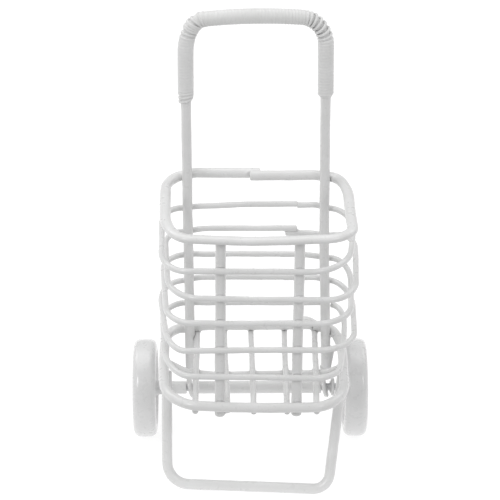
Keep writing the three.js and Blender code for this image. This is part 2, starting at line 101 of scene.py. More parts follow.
def bent(corners):
    """A centre line through corners (x, y, z) or ((x, y, z), before, after), evenly spaced.
    A bend is a quarter of an ellipse that starts before and ends after its corner."""
    places = [np.array(corner[0] if is_bend(corner) else corner, float) for corner in corners]
    line = []
    for i, corner in enumerate(corners):
        if not is_bend(corner):
            line.append(places[i])
            continue
        back = unit(places[i - 1] - places[i]) * corner[1]
        on = unit(places[i + 1] - places[i]) * corner[2]
        for angle in np.linspace(0, math.pi / 2, 19):
            line.append(places[i] + back * (1 - math.sin(angle)) + on * (1 - math.cos(angle)))
    return spaced(np.array(line), STEP)


def lengths(line):
    """How far along the line each of its points is."""
    return np.concatenate([[0], np.cumsum(np.linalg.norm(np.diff(line, axis=0), axis=1))])


def spaced(line, step):
    """The same line with its points evenly spaced."""
    run = lengths(line)
    keep = np.concatenate([[True], np.diff(run) > 1e-9])
    line, run = line[keep], run[keep]
    at = np.linspace(0, run[-1], max(3, round(run[-1] / step)))
    return np.stack([np.interp(at, run, line[:, k]) for k in range(3)], axis=1)


def softened(line, passes):
    """The same line with its small corners eased, its ends kept."""
    line = line.copy()
    for _ in range(passes):
        line[1:-1] = (line[:-2] + 2 * line[1:-1] + line[2:]) / 4
    return line


LONGEST_WAVE = 34


def wavy(line, seed, amount):
    """The small unevenness of wire that was bent by hand."""
    random = np.random.RandomState(seed)
    run = lengths(line)
    out = line.copy()
    for axis in range(3):
        for wavelength in (LONGEST_WAVE, 17, 9):
            phase = random.uniform(0, 2 * math.pi)
            size = amount * random.uniform(0.5, 1) * wavelength / LONGEST_WAVE
            out[:, axis] += size * np.sin(2 * math.pi * run / wavelength + phase)
    return out


# ---- Swept wires ----
WIRES = []
ROUNDED_END = 0.38  # the coating rounds a cut end by this much
SQUASH_WIDER = 0.07  # shares of the radius that a squashed wire gains across and loses upright
SQUASH_THINNER = 0.2
SWELL = 0.009  # the coating's thickness comes and goes by this much


def sections(line, reference):
    """Two directions across the line at each point, turned as little as possible along it."""
    tangent = unit(np.gradient(line, axis=0))
    first = np.empty_like(line)
    start = np.array(reference, float)
    for i, along in enumerate(tangent):
        start = start - along * (start @ along)
        start = start / np.linalg.norm(start)
        first[i] = start
    return tangent, first, np.cross(tangent, first)


def add_wire(name, line, radius, seed, lapped=False, squash=None):
    """Notes down a wire, so that every wire is known before the welds are filled. A squashed wire is
    a little wider across and thinner upright where squash is 1 along its line."""
    run = lengths(line)
    random = np.random.RandomState(seed + 7)
    swell = np.zeros(len(line))
    for wavelength in (11, 6.1, 3.7):
        swell += SWELL * np.sin(2 * math.pi * run / wavelength + random.uniform(0, 2 * math.pi))
    flat = np.zeros(len(line)) if squash is None else squash
    WIRES.append(
        {"name": name, "line": line, "radius": radius + swell, "flat": flat, "lapped": lapped}
    )


def tube_surface(line, radius, sides, rounded=ROUNDED_END, flat=None):
    """Points and outward normals of a tube with rounded ends, as (stations, sides, 3)."""
    ends_at_one_depth = abs(line[0, 1] - line[-1, 1]) < 10
    reference = (0, 1, 0) if ends_at_one_depth else (0, 0, 1)
    tangent, first, second = sections(line, reference)
    around = np.arange(sides) * 2 * math.pi / sides
    wide = np.cos(around) * (1 if flat is None else 1 + SQUASH_WIDER * flat[:, None])
    tall = np.sin(around) * (1 if flat is None else 1 - SQUASH_THINNER * flat[:, None])
    wide, tall = np.broadcast_to(wide, (len(line), sides)), np.broadcast_to(tall, (len(line), sides))
    spokes = first[:, None] * wide[..., None] + second[:, None] * tall[..., None]
    body = line[:, None] + spokes * radius[:, None, None]
    rings, outward = [], []
    lifts = np.radians([90, 68, 45, 22])
    for lift in lifts:
        size = radius[0] - rounded + rounded * math.cos(lift)
        rings.append(line[0] + spokes[0] * size - tangent[0] * rounded * (math.sin(lift)))
        outward.append(spokes[0] * math.cos(lift) - tangent[0] * math.sin(lift))
    rings.extend(body)
    outward.extend(spokes)
    for lift in lifts[::-1]:
        size = radius[-1] - rounded + rounded * math.cos(lift)
        rings.append(line[-1] + spokes[-1] * size + tangent[-1] * rounded * (math.sin(lift)))
        outward.append(spokes[-1] * math.cos(lift) + tangent[-1] * math.sin(lift))
    return np.array(rings), np.array(outward)


def grid_mesh(name, rings, closed_ends=True):
    """A mesh object from rings of points, quads between rings and a fan on each end."""
    count, sides = rings.shape[:2]
    points = rings.reshape(-1, 3)
    i = np.arange(count - 1)[:, None] * sides
    k = np.arange(sides)[None, :]
    k2 = (k + 1) % sides
    quads = np.stack([i + k, i + k2, i + sides + k2, i + sides + k], axis=-1).reshape(-1, 4)
    faces = quads.tolist()
    if closed_ends:
        points = np.vstack([points, rings[0].mean(0), rings[-1].mean(0)])
        first, last = len(points) - 2, len(points) - 1
        for j in range(sides):
            faces.append([first, (j + 1) % sides, j])
            faces.append([last, (count - 1) * sides + j, (count - 1) * sides + (j + 1) % sides])
    return mesh_object(name, points, faces)


def mesh_object(name, points, faces):
    mesh = bpy.data.meshes.new(name)
    mesh.from_pydata((np.asarray(points) * MM).tolist(), [], faces)
    mesh.validate()
    mesh.shade_smooth()
    made = bpy.data.objects.new(name, mesh)
    bpy.context.scene.collection.objects.link(made)
    return made


# ---- Filled welds ----
FILL = 0.85  # how far from a touching neighbour the coating starts to fill the corner
FILL_MOST = 0.5  # how far the coating ever stands off its wire
FILL_PASSES = 9
FAR = 9.0  # further away than any coating reaches
LAP_APART = 12  # two stretches of one wire this far apart along it are its two lapped ends


def smooth_least(a, b, reach):
    """The lesser of a and b, eased where they are within reach of one another."""
    overlap = np.clip(reach - np.abs(a - b), 0, None) / reach
    return np.minimum(a, b) - overlap**2 * reach / 4


def depth_to(points, line, radius):
    """Distance from points to the surface of a tube round a short piece of line."""
    start, step = line[:-1], np.diff(line, axis=0)
    offset = points[:, None] - start[None]
    share = np.clip((offset * step).sum(-1) / (step * step).sum(-1), 0, 1)
    away = np.linalg.norm(offset - share[..., None] * step, axis=-1)
    return (away - radius[:-1]).min(axis=1)


def neighbours(wire, reach):
    """For each station of a wire, which other wires, or other ends of itself, come near it."""
    found = []
    run = lengths(wire["line"])
    for other in WIRES:
        gap = np.linalg.norm(wire["line"][:, None] - other["line"][None], axis=-1)
        near = gap < wire["radius"][:, None] + other["radius"][None] + reach
        if other is not wire:
            found.append((other, near))
        elif wire["lapped"]:
            near &= np.abs(run[:, None] - run[None]) > LAP_APART
            first_end = run < run[-1] / 2
            found.append((other, near & first_end[:, None]))
            found.append((other, near & ~first_end[:, None]))
    return [(other, near) for other, near in found if near.any()]


def fill_welds(wire, keep, rings, outward, found):
    """Moves a wire's surface out to the coating that fills the corners beside its neighbours."""
    ends = (len(rings) - len(keep)) // 2
    station = np.concatenate([[keep[0]] * ends, keep, [keep[-1]] * ends])
    touched = [(other, near, near[station].any(axis=1)) for other, near in found]
    active = np.zeros(len(rings), bool)
    for _, _, rows in touched:
        active |= rows
    index = np.flatnonzero(active)
    if not len(index):
        return rings
    base, normal = rings[index].reshape(-1, 3), outward[index].reshape(-1, 3)
    raise_by = np.zeros(len(base))
    sides = rings.shape[1]
    for turn in range(FILL_PASSES):
        place = base + normal * raise_by[:, None]
        level = raise_by.copy()
        closest = np.full(len(base), FAR)
        for other, near, rows in touched:
            mine = np.repeat(rows[index], sides)
            for low, high in stretches(near.any(axis=0)):
                low, high = max(low - 2, 0), min(high + 2, len(other["line"]) - 1)
                away = np.full(len(base), FAR)
                piece = other["line"][low : high + 1]
                away[mine] = depth_to(place[mine], piece, other["radius"][low : high + 1])
                level = smooth_least(level, away, FILL)
                closest = np.minimum(closest, away)
        if turn < FILL_PASSES - 1:
            raise_by = np.clip(raise_by - level, 0, FILL_MOST)
    past = np.clip(raise_by - closest, 0, None)
    raise_by = np.clip(raise_by - past, 0, None)
    lift = np.zeros(rings.shape[:2])
    lift[index] = raise_by.reshape(-1, sides)
    return rings + outward * lift[..., None]


def stretches(mask):
    """(first, last) of each unbroken run of True."""
    edges = np.flatnonzero(np.diff(np.concatenate([[0], mask.astype(int), [0]])))
    return [(a, b - 1) for a, b in zip(edges[::2], edges[1::2])]


# ---- The handle frame's centre line ----
frame_low, _ = corners_of("handle_frame")
wrap_low, wrap_high = corners_of("handle_wrap")
axle_low, axle_high = corners_of("axle_rod")
LEG_Y = (axle_low[1] + axle_high[1]) / 2
LEFT_X = frame_low[0] + HEAVY + 0.01
AXLE_Z = (axle_low[2] + axle_high[2]) / 2
EYE_NECK = 5.8  # above the axle, where the hammered eye has become round wire again
EYE_TOP = AXLE_Z + EYE_NECK
RIGHT_X = 18.3  # the right leg at its eye
GRIP = 1.84  # radius over the cord
PEAK_EASED = 0.35  # softening takes this much off the peak where the grip's two slopes meet
TOP_Z = wrap_high[2] - GRIP + PEAK_EASED
LEFT_DROP, RIGHT_DROP = 1.4, 0.95  # the grip's corners lie this far below its peak
PEAK_X = 0.5
LEFT_KNEE_Z = 81.0  # a slight bend in the left leg
KNEE_X, KNEE_Z = 17.08, 83.0  # two slight bends in the right leg
SHIN_X, SHIN_Z = 17.24, 55.0

handle_line = softened(
    bent(
        [
            (LEFT_X, LEG_Y, EYE_TOP),
            ((LEFT_X - 0.1, LEG_Y, LEFT_KNEE_Z), 9, 9),
            ((LEFT_X + 0.08, LEG_Y, TOP_Z - LEFT_DROP), 7.2, 3.8),
            ((PEAK_X, LEG_Y, TOP_Z), 7, 7),
            ((16.76, LEG_Y, TOP_Z - RIGHT_DROP), 5.1, 6.0),
            ((KNEE_X, LEG_Y, KNEE_Z), 6, 6),
            ((SHIN_X, LEG_Y, SHIN_Z), 8, 8),
            (RIGHT_X, LEG_Y, EYE_TOP),
        ]
    ),
    6,
)
add_wire("handle_frame", wavy(handle_line, 3, 0.03), HEAVY + COAT, 3)
handle_line = WIRES[-1]["line"]

# ---- The basket's loops ----
# left and right: X of each side's corners at the back and at the front. heights: back, then the corners
# back left, front left, middle of the front, front right, back right. Bends are (across, in depth).
# lap: X where its ends meet. over: how far each end passes it, less than nothing for a gap. left_end and
# right_end: how far (back, up) each end is set off. left_leg and right_leg: how far up the loop is set
# off beside each leg. left_step: how far from the left leg the step between the two starts.
LOOPS = {
    "top_rim": dict(
        radius=HEAVY + COAT, left=(-19.45, -18.65), right=(22.25, 22.1),
        heights=(68.5, 67.4, 68.83, 67.88, 68.73, 67.8), back_left=(4.8, 6.5), front_left=(5.3, 11.8),
        front_right=(6, 4.8), back_right=(7.2, 12), lap=1.25, over=0.85,
        left_end=(1.6, -0.7), right_end=(-0.6, -0.3), left_leg=0.2, right_leg=-0.6,
    ),
    "basket_ring_1": dict(
        radius=LIGHT, left=(-20.55, -19.5), right=(24.55, 21.25),
        heights=(60.65, 59.9, 60.75, 60.65, 60.5, 59.15), back_left=(4.9, 9), front_left=(5.5, 9.3),
        front_right=(8.1, 10.3), back_right=(6, 12.3), lap=11, over=-0.25,
        left_end=(0, 0.03), right_end=(0.1, -0.32), left_leg=-0.4, right_leg=-0.15, left_step=14,
    ),
    "basket_ring_2": dict(
        radius=LIGHT, left=(-19.95, -18.05), right=(24.65, 23.05),
        heights=(54.35, 53.5, 54.5, 53.85, 53.75, 53.35), back_left=(4, 6.7), front_left=(6.5, 9.3),
        front_right=(6.1, 8.7), back_right=(4.8, 9.1), lap=9.6, over=0.95,
        left_end=(0, 0.05), right_end=(0.15, -1.3), left_leg=-0.2, right_leg=-1.4,
    ),
    "basket_ring_3": dict(
        radius=LIGHT, left=(-20.6, -18.55), right=(23.75, 22.1),
        heights=(47.55, 47.25, 48.4, 48.0, 48.05, 46.55), back_left=(5.8, 7.3), front_left=(5.1, 7.2),
        front_right=(7.4, 8.9), back_right=(5.2, 13.3), lap=7.4, over=0.1,
        left_end=(0.05, 0), right_end=(0, -0.05), left_leg=0.2, right_leg=-0.5,
    ),
    "basket_ring_4": dict(
        radius=LIGHT, left=(-21.75, -18.4), right=(24.05, 23.05),
        heights=(41.3, 40.2, 41.5, 41.55, 41.45, 40.2), back_left=(5.9, 10.8), front_left=(3.7, 10.2),
        front_right=(8, 8.8), back_right=(6, 13.3), lap=9.6, over=1.5,
        left_end=(0, 0.1), right_end=(1.15, -0.7), left_leg=0, right_leg=0,
    ),
    "basket_ring_5": dict(
        radius=LIGHT, left=(-20.9, -19.35), right=(23.3, 19.5),
        heights=(34.45, 34.4, 35.35, 34.75, 34.35, 32.65), back_left=(5.9, 8), front_left=(5.7, 14.2),
        front_right=(5.8, 5.5), back_right=(3.4, 12.9), lap=19.1, over=-0.5,
        left_end=(0, 0), right_end=(0, 0), left_leg=0.1, right_leg=-0.15,
    ),
    "bottom_ring": dict(
        radius=HEAVY + 0.04, left=(-20.4, -19.7), right=(21.9, 21.25),
        heights=(28.0, 27.2, 28.25, 27.3, 27.4, 26.75), back_left=(4.3, 8.1), front_left=(8.2, 10),
        front_right=(7.2, 11.1), back_right=(5.5, 14), lap=13.2, over=1.2,
        left_end=(0, 0), right_end=(2.1, -0.1), left_leg=-0.35, right_leg=-0.35,
    ),
}


PRESSED_IN = 0.04  # the loops are pressed this far into the legs
LEG_OUTSIDE = 0.7  # a loop lies along its leg to this far outside the leg's middle
LEG_SHARE = 0.6  # and has climbed this share of the way to its corner's height there
LEFT_INSIDE, RIGHT_INSIDE = 1.7, 1.9  # it also lies along each leg to this far inside the middle
LEFT_STEP = 3.9  # usual distance from the left leg to the step
RIGHT_STEP = 2.6  # the right end steps off at least this far inside its leg
STEP_REACH = 6  # and at most this far before the end itself
STEP_LENGTH = 1.25
FRONT_MIDDLE_X, FRONT_MIDDLE_BEND = 1.5, 8
RIGHT_LEG_X, RIGHT_LEG_LEAN = 17.1, 0.028  # the right leg leans outwards below SHIN_Z


def loop_line(name, loop):
    """A loop's centre line, from its left end at the back, round the front, to its right end."""
    back_z, back_left_z, front_left_z, front_z, front_right_z, back_right_z = loop["heights"]
    wire = HEAVY if loop["radius"] > HEAVY else LIGHT
    front = corners_of(name)[0][1] + wire
    back = LEG_Y + HEAVY + wire - PRESSED_IN
    (left, front_left), (right, front_right) = loop["left"], loop["right"]
    left_run, right_run = loop["lap"] + loop["over"], loop["lap"] - loop["over"]

    def end(x, offset):
        return (x, back + offset[0], back_z + offset[1])

    def beside_leg(x, corner_z, leg, share):
        return (x, back, back_z + leg + share * (corner_z - back_z))

    def bend(place, before, after):
        return (place, before, after)

    def open_end(x, corner, corner_z, run):
        """An end that stops between a leg and its corner."""
        share = (run - x) / (corner - x)
        return (run, back, back_z + share * (corner_z - back_z))

    def back_corner(x, z, start, sizes, order=1):
        """A corner at the back, whose bend starts no nearer to its leg than start."""
        across = min(sizes[0], abs(x - start) - 0.05)
        return ((x, back, z), *(across, sizes[1])[::order])

    leg_x = RIGHT_LEG_X + max(0, SHIN_Z - back_z) * RIGHT_LEG_LEAN
    line = [
        end(left_run, loop["left_end"]),
        bend(end(LEFT_X + loop.get("left_step", LEFT_STEP), loop["left_end"]), 1, 1),
        bend(beside_leg(LEFT_X + LEFT_INSIDE, back_left_z, loop["left_leg"], 0), 0.8, 0.8),
        beside_leg(LEFT_X - LEG_OUTSIDE, back_left_z, loop["left_leg"], LEG_SHARE),
        back_corner(left, back_left_z, LEFT_X - LEG_OUTSIDE, loop["back_left"]),
        bend((front_left, front, front_left_z), *loop["front_left"][::-1]),
        bend((FRONT_MIDDLE_X, front, front_z), FRONT_MIDDLE_BEND, FRONT_MIDDLE_BEND),
        bend((front_right, front, front_right_z), *loop["front_right"]),
        back_corner(right, back_right_z, max(leg_x + LEG_OUTSIDE, right_run), loop["back_right"], -1),
    ]
    if right_run > leg_x:
        return line + [open_end(leg_x, right, back_right_z, right_run)]
    step = min(leg_x - RIGHT_STEP, right_run + STEP_REACH)
    return line + [
        beside_leg(leg_x + LEG_OUTSIDE, back_right_z, loop["right_leg"], LEG_SHARE),
        bend(beside_leg(leg_x - RIGHT_INSIDE, back_right_z, loop["right_leg"], 0), 0.5, 0.5),
        bend(end(step - STEP_LENGTH, loop["right_end"]), 0.6, 0.9),
        end(right_run, loop["right_end"]),
    ]


def squash_of(line):
    """The rim is pressed flatter everywhere but at its back."""
    starts, fades_over = LEG_Y - 1, 5
    return np.clip((starts - line[:, 1]) / fades_over, 0, 1)


UNEVEN = 0.05  # how uneven the basket's wires are
LAPPED_OVER = 0.5  # ends that pass the lap's middle by more than this lie side by side
for seed, (name, loop) in enumerate(LOOPS.items(), 20):
    line = wavy(softened(bent(loop_line(name, loop)), 8), seed, UNEVEN)
    squash = squash_of(line) if name == "top_rim" else None
    add_wire(name, line, loop["radius"], seed, loop["over"] > LAPPED_OVER, squash)

# ---- Straight wires ----
OUTER_FLOOR = LIGHT + 0.03  # radius of the outer floor wires
STRAIGHT = {
    "front_bar_left": HEAVY + COAT, "front_bar_right": HEAVY + COAT, "floor_wire_1": OUTER_FLOOR,
    "floor_wire_2": LIGHT, "floor_wire_3": LIGHT, "floor_wire_4": LIGHT, "floor_wire_5": OUTER_FLOOR,
}
SHORTER = {"floor_wire_1": 1.2, "floor_wire_2": 1.8}  # at the front, in rounded ends
for seed, (name, radius) in enumerate(STRAIGHT.items(), 40):
    start, end = straight_ends(name)
    along = unit(end - start) * ROUNDED_END
    line = spaced(np.array([start + along * (1 + SHORTER.get(name, 0)), end - along]), STEP)
    add_wire(name, wavy(line, seed, UNEVEN), radius, seed)

# ---- Floor cross wire and stand ----
cross_low, cross_high = corners_of("floor_cross_wire")
cross_z, cross_end = cross_low[2] + LIGHT, cross_high[2] - LIGHT
cross_front, cross_back = cross_low[1] + LIGHT, cross_high[1] - 0.6
CROSS_TIP = 0.35  # from the end of the CAD wire to the end of this one's centre line
CROSS_LEVEL = 4.4  # from the end of the CAD wire to where this one is level
CROSS_BEND = 1.5
CROSS_BOW_X, CROSS_BOW_BEND = -9, 4  # where it bows furthest to the front
CROSS_RIGHT_BOW = 1.0  # how far back its right end is from there
cross = [
    (cross_low[0] + CROSS_TIP, cross_back, cross_end),
    ((cross_low[0] + CROSS_LEVEL, (cross_back + cross_front) / 2, cross_z), CROSS_BEND, CROSS_BEND),
    ((CROSS_BOW_X, cross_front, cross_z), CROSS_BOW_BEND, CROSS_BOW_BEND),
    ((cross_high[0] - CROSS_LEVEL, cross_front + CROSS_RIGHT_BOW / 2, cross_z), CROSS_BEND, CROSS_BEND),
    (cross_high[0] - CROSS_TIP, cross_front + CROSS_RIGHT_BOW, cross_end + 0.05),
]
add_wire("floor_cross_wire", wavy(softened(bent(cross), 6), 60, UNEVEN), LIGHT, 60)

STAND = 1.21  # radius of the stand's wire, with the thickest coating
STAND_LEFT_X, STAND_LEFT_BEND = -19.6, 5
STAND_RIGHT_X, STAND_RIGHT_BEND = 17.9, 3.4
BAR_BELOW, BAR_REACH = 2.4, 15.6  # the bar is the part of the stand lower than this and this near X 0
OFF_FLOOR = 0.03  # swelling never takes the coating through the floor
stand_low, stand_high = corners_of("stand")
stand_points = points_of("stand")
bar = stand_points[(stand_points[:, 2] < BAR_BELOW) & (np.abs(stand_points[:, 0]) < BAR_REACH)]
skew, bar_y = np.polyfit(bar[:, 0], bar[:, 1], 1)
stand_top_y, stand_top_z = stand_high[1] - HEAVY + 0.1, stand_high[2] - 0.2
stand_bar_z = STAND + 0.01
stand = [
    (stand_low[0] + HEAVY, stand_top_y, stand_top_z),
    ((STAND_LEFT_X, bar_y + STAND_LEFT_X * skew, stand_bar_z), STAND_LEFT_BEND, STAND_LEFT_BEND),
    ((STAND_RIGHT_X, bar_y + STAND_RIGHT_X * skew, stand_bar_z), STAND_RIGHT_BEND, STAND_RIGHT_BEND),
    (stand_high[0] - HEAVY, stand_top_y, stand_top_z),
]
stand_line = softened(bent(stand), 10)
stand_line[:, 2] = np.maximum(stand_line[:, 2], STAND + 0.02)
add_wire("stand", wavy(stand_line, 61, 0.02), STAND, 61)
WIRES[-1]["line"][:, 2] = np.maximum(WIRES[-1]["line"][:, 2], STAND + OFF_FLOOR)


# ---- The tails of the handle's wire, bent back up behind each leg ----
TAIL = HEAVY - 0.05  # radius
TAIL_FOOT, TAIL_TURN, TAIL_TIP = (-0.1, 0.7, 2.6), (0.3, 2.0, 4.4), (1.15, 2.2, 9.6)  # from the eye
for seed, (side, x) in enumerate((("left", LEFT_X), ("right", RIGHT_X)), 70):
    foot, turn, tip = (np.array((x, LEG_Y, AXLE_Z)) + off for off in (TAIL_FOOT, TAIL_TURN, TAIL_TIP))
    add_wire(f"handle_tail_{side}", softened(bent([foot, (turn, 1, 1), tip]), 6), TAIL, seed)


# ---- Flat eyes at the ends of the handle's wire ----
EYE_RADIUS, EYE_HALF_THICK = 2.5, 0.64
FLATTENS_OVER = 2.6  # how far below EYE_NECK the wire is fully flat
EYE_LEAN = 0.23  # slope of the eye on the axle, carried up to LEAN_TOP and eased out over LEAN_EASE
LEAN_TOP, LEAN_EASE = 1.6, 3.6
EYE_TAPER = 0.25  # share of its thickness that the eye loses towards its bottom


def eye_rings(x, sides):
    """Sections of the wire from where it is round down to the bottom of its hammered eye."""
    heights = np.concatenate([np.arange(EYE_NECK, -1.6, -0.4), [-1.8, -2.1, -2.3, -2.43]])
    rings = []
    around = np.arange(sides) * 2 * math.pi / sides
    for height in heights:
        flat = np.clip((EYE_NECK - height) / FLATTENS_OVER, 0, 1)
        flat = flat * flat * (3 - 2 * flat)
        neck = HEAVY + COAT + 0.1 * flat
        disc = math.sqrt(max(EYE_RADIUS**2 - height**2, 0.01))
        wide = disc if height < 0 else max(neck, disc if height < 2.2 else 0)
        thick = HEAVY + COAT + (EYE_HALF_THICK - HEAVY - COAT) * flat
        thick *= 1 - EYE_TAPER + EYE_TAPER * math.sqrt(max(0, 1 - (min(height, 0) / 2.45) ** 2))
        squareness = 1 - 0.45 * flat
        across = np.sign(np.sin(around)) * np.abs(np.sin(around)) ** squareness * thick
        lean = -EYE_LEAN * min(height, LEAN_TOP) * np.clip((EYE_NECK - height) / LEAN_EASE, 0, 1)
        ring = [x + lean + across, LEG_Y + np.cos(around) * wide, np.full(sides, AXLE_Z + height)]
        rings.append(np.stack(ring, axis=1))
    return np.array(rings)


# ---- Making every wire's mesh ----
HEAVY_SIDES, LIGHT_SIDES = 28, 20
KEEP_EVERY = 3  # away from the welds, one station in this many is enough
RIGHT_EYE_IN = 0.25  # the right eye stands this far inside its leg


def make_wire(wire):
    """A wire's mesh, with all its stations kept near the welds."""
    found = neighbours(wire, FILL + 0.15)
    keep = np.zeros(len(wire["line"]), bool)
    for _, pairs in found:
        keep |= pairs.any(axis=1)
    keep[::KEEP_EVERY] = True
    keep[0] = keep[-1] = True
    keep = np.flatnonzero(keep)
    sides = HEAVY_SIDES if wire["radius"].mean() > 1 else LIGHT_SIDES
    line, radius, flat = wire["line"][keep], wire["radius"][keep], wire["flat"][keep]
    rings, outward = tube_surface(line, radius, sides, flat=flat)
    return grid_mesh(f"{wire['name']}_coated", fill_welds(wire, keep, rings, outward, found))


made = {wire["name"]: make_wire(wire) for wire in WIRES}
for name, piece in made.items():
    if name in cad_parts:
        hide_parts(name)

for side, x in (("left", LEFT_X), ("right", RIGHT_X - RIGHT_EYE_IN)):
    made[f"handle_eye_{side}"] = grid_mesh(f"handle_eye_{side}", eye_rings(x, HEAVY_SIDES)[::-1])
for piece in made.values():
    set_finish(piece, "coated_wire")
    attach(piece, "frame")

# ---- The cord wound on the grip ----
CORD = 0.345  # radius of the cord
PITCH = 0.70  # along the handle from one turn to the next, on the legs
END_PITCH, TOP_PITCH, FAN_PITCH = 0.86, 0.73, 1.2  # at its first turns, on top, round the right corner
END_LEAN, END_LIFT, TOP_LIFT = 0.3, -0.12, -0.07
CROSSED = 0.12  # share of the left corner from which the turns are crossed over one another
SLOT = 0.6  # share of the left corner at which the turns stand open
SLOT_HALF = 0.07  # half of that slot, as a share of the corner
SLOT_WIDER, CROSSED_TIGHTER = 0.6, 0.12  # added to the pitch in a slot, taken off it where crossed


def wrap_turns():
    """Where the winding starts, meets each bend and stops, along the handle's wire."""
    run = lengths(handle_line)
    z, x = handle_line[:, 2], handle_line[:, 0]
    left, right = x < 0, x > 0
    first = run[np.flatnonzero(left & (z > wrap_low[2]))[0]]
    bend_left = run[np.flatnonzero(left & (z > TOP_Z - 5.2))[0]]
    top_left = run[np.flatnonzero(x > LEFT_X + 4.6)[0]]
    top_right = run[np.flatnonzero(x > 13.6)[0]]
    bend_right = run[np.flatnonzero(right & (z > TOP_Z - 5.6))[-1]]
    last = run[np.flatnonzero(right & (z > wrap_low[2] + 1.0))[-1]]
    return first, bend_left, top_left, top_right, bend_right, last


def cord_turns():
    """(where, lean, lift) of each turn: close on the legs, crossed over one another round the left
    corner, fanned open round the right one."""
    first, bend_left, top_left, top_right, bend_right, last = wrap_turns()
    random = np.random.RandomState(11)
    turns = []
    at = first + 0.5
    while at < last - 0.3:
        pitch, lean, lift = PITCH, 0.02 * random.randn(), 0.008 * random.randn()
        share = (at - bend_left) / (top_left - bend_left)
        if 0 < share < 1:
            slot = share < CROSSED or abs(share - SLOT) < SLOT_HALF
            crossed = CROSSED <= share <= SLOT - SLOT_HALF
            pitch += SLOT_WIDER * slot - CROSSED_TIGHTER * crossed
            lean += (0.3 * random.randn() if crossed else 0.35 * (share > 0.5)) * (share > 0.1)
            lift += 0.16 * abs(random.randn()) * crossed
        elif top_left <= at < top_right:
            pitch = TOP_PITCH + 0.03 * random.randn()
            lean, lift = 0.04 * random.randn(), lift + TOP_LIFT
        elif top_right <= at < bend_right:
            pitch = FAN_PITCH + 0.08 * random.randn()
            lean = 0.06 * random.randn()
        if at < first + 2.2:
            pitch, lean, lift = END_PITCH, END_LEAN, END_LIFT
        turns.append((at, lean, lift))
        at += pitch
    return np.array(turns)


def cord_line():
    """The cord's centre line, one turn after another round the handle's wire."""
    turns = cord_turns()
    per_turn = 20
    t = np.arange(0, (len(turns) - 1) * per_turn + 1) / per_turn
    where, lean, lift = (np.interp(t, np.arange(len(turns)), turns[:, k]) for k in range(3))
    angle = 2 * math.pi * t
    where = where + lean * np.cos(angle + 1.1)
    out = GRIP - CORD + lift
    run = lengths(handle_line)
    tangent, across, up = sections(handle_line, (0, 1, 0))

    def along(values):
        return np.stack([np.interp(where, run, values[:, k]) for k in range(3)], axis=1)

    centre, across, up = along(handle_line), unit(along(across)), unit(along(up))
    return centre + (across * np.cos(angle)[:, None] + up * np.sin(angle)[:, None]) * out[:, None]


def coat_radius():
    """How far the coating fills the grooves between the turns, along the grip."""
    first, bend_left, top_left, top_right, bend_right, last = wrap_turns()
    bare, middle = HEAVY + COAT, (top_left + top_right) / 2
    slot = bend_left + SLOT * (top_left - bend_left)
    knots = {
        first: bare, first + 1.6: GRIP - 0.3, first + 3.5: GRIP - 0.06,
        bend_left - 0.5: GRIP - 0.06, bend_left + 0.5: GRIP - 0.45, bend_left + 2: GRIP - 0.2,
        slot - 0.9: GRIP - 0.22, slot: bare + 0.05, slot + 0.9: GRIP - 0.25, top_left + 1: GRIP - 0.16,
        middle: GRIP - 0.14, top_right - 1.5: GRIP - 0.19, top_right + 0.4: bare,
        bend_right - 0.8: bare, bend_right + 0.8: GRIP - 0.1, bend_right + 3: GRIP - 0.06,
        last - 1.2: GRIP - 0.08, last - 0.1: bare + 0.05,
    }
    return list(knots.keys()), list(knots.values())


def make_wrap():
    """The cord, and under it the coating that fills its grooves."""
    line = cord_line()
    rings, _ = tube_surface(line, np.full(len(line), CORD), 10, 0.12)
    made["handle_wrap_cord"] = grid_mesh("handle_wrap_cord", rings)
    knots, sizes = coat_radius()
    run = lengths(handle_line)
    inside = np.flatnonzero((run >= knots[0]) & (run <= knots[-1]))[::2]
    rings, _ = tube_surface(handle_line[inside], np.interp(run[inside], knots, sizes), 28, 0.1)
    made["handle_wrap_coat"] = grid_mesh("handle_wrap_coat", rings)
    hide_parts("handle_wrap")
    for name in ("handle_wrap_cord", "handle_wrap_coat"):
        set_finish(made[name], "handle_cord")
        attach(made[name], "frame")


make_wrap()


# ---- Turned pieces on the axle ----
def turned(name, profile, sides, x, sign=1):
    """A profile of (along the axle, radius) turned about the axle at x; sign -1 mirrors it."""
    profile = np.array(profile, float)
    around = np.arange(sides) * 2 * math.pi / sides
    rings = np.empty((len(profile), sides, 3))
    rings[..., 0] = x + sign * profile[:, 0, None]
    rings[..., 1] = LEG_Y + profile[:, 1, None] * np.cos(around)
    rings[..., 2] = AXLE_Z + profile[:, 1, None] * np.sin(around)
    if sign < 0:
        rings = rings[:, ::-1]
    return grid_mesh(name, rings[:, ::-1], closed_ends=False)


def rounded(profile, size, steps=5, closed=True):
    """A profile with its corners rounded off by up to size; an open one keeps its two ends."""
    profile = np.array(profile, float)
    count = len(profile)
    out = []
    for i, here in enumerate(profile):
        if not closed and i in (0, count - 1):
            out.append(tuple(here))
            continue
        back, on = profile[i - 1] - here, profile[(i + 1) % count] - here
        cut = min(size, np.linalg.norm(back) * 0.45, np.linalg.norm(on) * 0.45)
        start, end = here + unit(back) * cut, here + unit(on) * cut
        for t in np.linspace(0, 1, steps):
            out.append(tuple((1 - t) ** 2 * start + 2 * t * (1 - t) * here + t**2 * end))
    return out + out[:1] if closed else out


RING_BORE, RING_EDGE = 0.95, 0.2  # radii of the sleeves' and washers' holes and rounded edges


def ring_piece(name):
    """A sleeve or a washer on the axle."""
    low, high = corners_of(name)
    half, outer = (high[0] - low[0]) / 2, (high[1] - low[1]) / 2
    corners = [(-half, RING_BORE), (-half, outer), (half, outer), (half, RING_BORE)]
    profile = rounded(corners, RING_EDGE)
    piece = turned(f"{name}_coated", profile, 48, (low[0] + high[0]) / 2)
    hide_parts(name)
    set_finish(piece, "coated_wire")
    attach(piece, "frame")
    made[name] = piece


